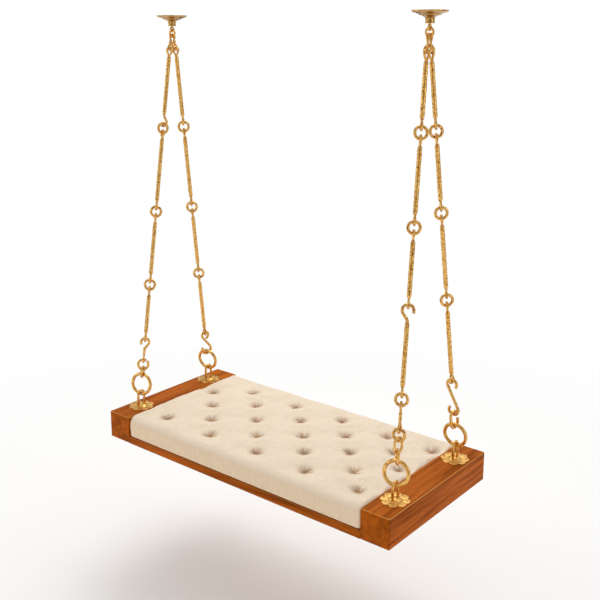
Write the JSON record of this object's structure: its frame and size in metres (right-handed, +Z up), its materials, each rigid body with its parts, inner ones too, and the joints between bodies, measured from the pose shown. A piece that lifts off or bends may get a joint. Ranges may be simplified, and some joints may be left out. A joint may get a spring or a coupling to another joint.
{
  "type": "hanging swing seat",
  "caption": "Indoor jhoola swing: tufted linen cushion on a low wooden seat, hung from ceiling canopies by brass rod chains.",
  "frame": {"origin": "centre of the seat's underside, at the middle of the part's lowest plane", "axes": "+X along the seat to the right end beam, +Y to the rear, +Z up to the ceiling"},
  "size_m": [1.34, 0.614, 1.65],
  "materials": {
    "wood": "oiled teak, visible grain",
    "plywood": "raw plywood",
    "brass": "polished, lightly aged",
    "aged_brass": "dark aged",
    "steel": "zinc plated",
    "linen": "natural cream linen"
  },
  "bodies": {
    "ceiling": {"ceiling_plate_left": "steel", "canopy_left": "brass", "canopy_collar_left": "brass", "eye_bolt_left": "brass", "ceiling_plate_right": "steel", "canopy_right": "brass", "canopy_collar_right": "brass", "eye_bolt_right": "brass"},
    "left_ring": {"top_ring_left": "brass"},
    "left_chains": {"top_links_left": "brass", "upper_rings_left": "brass", "chain_rings_left": "brass", "front_left_big_ring": "brass", "front_left_rod_1": "brass", "front_left_rod_2": "brass", "front_left_rod_3": "brass", "front_left_rod_4": "brass", "rear_left_big_ring": "brass", "rear_left_rod_1": "brass", "rear_left_rod_2": "brass", "rear_left_rod_3": "brass", "rear_left_rod_4": "brass", "front_left_hook": "brass", "front_left_c_link": "brass", "front_left_small_link": "brass", "rear_left_hook": "brass"},
    "right_ring": {"top_ring_right": "brass"},
    "right_chains": {"top_links_right": "brass", "upper_rings_right": "brass", "chain_rings_right": "brass", "front_right_big_ring": "brass", "front_right_rod_1": "brass", "front_right_rod_2": "brass", "front_right_rod_3": "brass", "front_right_rod_4": "brass", "rear_right_big_ring": "brass", "rear_right_rod_1": "brass", "rear_right_rod_2": "brass", "rear_right_rod_3": "brass", "rear_right_rod_4": "brass", "front_right_connector": "brass", "front_right_small_links": "brass", "rear_right_hook": "brass", "rear_right_c_link": "brass"},
    "seat": {"end_beam_left": "wood", "front_left_plate": "brass", "rear_left_plate": "brass", "end_beam_right": "wood", "front_right_plate": "brass", "rear_right_plate": "brass", "staples": "brass", "front_rail": "wood", "rear_rail": "wood", "deck_slats": "wood", "seat_deck": "plywood", "deck_screws": "steel", "staple_washers": "steel", "staple_nuts": "steel", "plate_nails": "aged_brass", "cushion": "linen"}
  },
  "joints": [
    {"name": "swing", "type": "hinge", "parent": "ceiling", "child": "left_ring", "pos_m": [-0.574, 0, 1.59675], "axis": [1, 0, 0], "range_deg": [-30, 30]},
    {"name": "sway", "type": "hinge", "parent": "left_ring", "child": "left_chains", "pos_m": [-0.574, 0, 1.58325], "axis": [0, 1, 0], "range_deg": [-8, 8]},
    {"name": "seat_level", "type": "hinge", "parent": "left_chains", "child": "seat", "pos_m": [-0.614, 0, 0.172], "axis": [0, 1, 0], "range_deg": [-7.48, 7.48]},
    {"name": "swing_right", "type": "hinge", "parent": "ceiling", "child": "right_ring", "pos_m": [0.574, 0, 1.59675], "axis": [1, 0, 0], "range_deg": [-30, 30]},
    {"name": "sway_right", "type": "hinge", "parent": "right_ring", "child": "right_chains", "pos_m": [0.574, 0, 1.58325], "axis": [0, 1, 0], "range_deg": [-8, 8]}
  ],
  "couplings": [
    {"joint": "seat_level", "follows": "sway", "ratio": -0.93485},
    {"joint": "swing_right", "follows": "swing", "ratio": 1},
    {"joint": "sway_right", "follows": "sway", "ratio": 1}
  ]
}
